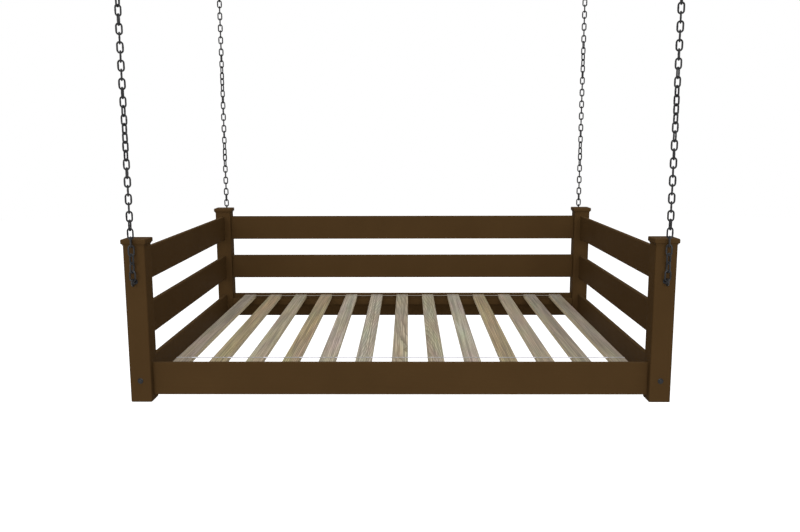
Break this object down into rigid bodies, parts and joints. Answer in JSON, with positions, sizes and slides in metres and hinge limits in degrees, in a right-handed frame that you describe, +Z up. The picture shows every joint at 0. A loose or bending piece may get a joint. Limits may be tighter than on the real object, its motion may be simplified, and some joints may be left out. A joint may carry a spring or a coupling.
{
  "type": "porch swing seat",
  "caption": "Slatted wooden swing bed with plank rails along the back and ends, between capped posts, hung from ceiling plates on welded-link chains.",
  "frame": {"origin": "middle of the seat's footprint, level with the undersides of the posts", "axes": "+X to the right as seen from the front, +Y from the front to the back, +Z up"},
  "size_m": [2.2732, 1.759, 1.9765],
  "materials": {
    "brown_paint": "dark brown satin paint or solid stain",
    "weathered_slat_wood": "bare sawn softwood, weathered grey-brown, matt",
    "dark_steel": "dark blue-grey coated steel, satin",
    "white_tape": "pale woven tape, matt"
  },
  "bodies": {
    "ceiling": {"ceiling_hanger_front_left": "dark_steel", "ceiling_hanger_front_right": "dark_steel", "ceiling_hanger_rear_left": "dark_steel", "ceiling_hanger_rear_right": "dark_steel"},
    "front_left_chain": {"chain_front_left": "dark_steel"},
    "front_right_chain": {"chain_front_right": "dark_steel"},
    "rear_left_chain": {"chain_rear_left": "dark_steel"},
    "rear_right_chain": {"chain_rear_right": "dark_steel"},
    "seat": {"post_front_left": "brown_paint", "post_cap_front_left": "brown_paint", "post_front_right": "brown_paint", "post_cap_front_right": "brown_paint", "post_rear_left": "brown_paint", "post_cap_rear_left": "brown_paint", "post_rear_right": "brown_paint", "post_cap_rear_right": "brown_paint", "front_rail": "brown_paint", "back_rail_bottom": "brown_paint", "back_rail_middle": "brown_paint", "back_rail_top": "brown_paint", "end_rail_left_bottom": "brown_paint", "end_rail_left_middle": "brown_paint", "end_rail_left_top": "brown_paint", "end_rail_right_bottom": "brown_paint", "end_rail_right_middle": "brown_paint", "end_rail_right_top": "brown_paint", "slat_ledger_front": "brown_paint", "slat_ledger_rear": "brown_paint", "slat_01": "weathered_slat_wood", "slat_02": "weathered_slat_wood", "slat_03": "weathered_slat_wood", "slat_04": "weathered_slat_wood", "slat_05": "weathered_slat_wood", "slat_06": "weathered_slat_wood", "slat_07": "weathered_slat_wood", "slat_08": "weathered_slat_wood", "slat_09": "weathered_slat_wood", "slat_10": "weathered_slat_wood", "slat_11": "weathered_slat_wood", "slat_12": "weathered_slat_wood", "slat_13": "weathered_slat_wood", "slat_tape_front": "white_tape", "slat_tape_rear": "white_tape", "corner_lag_front_left": "dark_steel", "eye_washer_front_left": "dark_steel", "screw_eye_front_left": "dark_steel", "chain_tail_front_left": "dark_steel", "corner_lag_front_right": "dark_steel", "eye_washer_front_right": "dark_steel", "screw_eye_front_right": "dark_steel", "chain_tail_front_right": "dark_steel", "corner_lag_rear_left": "dark_steel", "eye_washer_rear_left": "dark_steel", "screw_eye_rear_left": "dark_steel", "chain_tail_rear_left": "dark_steel", "corner_lag_rear_right": "dark_steel", "eye_washer_rear_right": "dark_steel", "screw_eye_rear_right": "dark_steel", "chain_tail_rear_right": "dark_steel"}
  },
  "joints": [
    {"name": "front_left_chain_swing", "type": "hinge", "parent": "ceiling", "child": "front_left_chain", "pos_m": [-1.08585, -0.85408, 1.94474], "axis": [1, 0, 0], "range_deg": [-15, 15]},
    {"name": "seat_level", "type": "hinge", "parent": "front_left_chain", "child": "seat", "pos_m": [-1.08585, -0.85408, 0.73474], "axis": [1, 0, 0], "range_deg": [-15, 15]},
    {"name": "front_right_chain_swing", "type": "hinge", "parent": "ceiling", "child": "front_right_chain", "pos_m": [1.08585, -0.85408, 1.94474], "axis": [1, 0, 0], "range_deg": [-15, 15]},
    {"name": "rear_left_chain_swing", "type": "hinge", "parent": "ceiling", "child": "rear_left_chain", "pos_m": [-1.08585, 0.85408, 1.94474], "axis": [1, 0, 0], "range_deg": [-15, 15]},
    {"name": "rear_right_chain_swing", "type": "hinge", "parent": "ceiling", "child": "rear_right_chain", "pos_m": [1.08585, 0.85408, 1.94474], "axis": [1, 0, 0], "range_deg": [-15, 15]}
  ],
  "couplings": [
    {"joint": "seat_level", "follows": "front_left_chain_swing", "ratio": -1},
    {"joint": "front_right_chain_swing", "follows": "front_left_chain_swing", "ratio": 1},
    {"joint": "rear_left_chain_swing", "follows": "front_left_chain_swing", "ratio": 1},
    {"joint": "rear_right_chain_swing", "follows": "front_left_chain_swing", "ratio": 1}
  ]
}
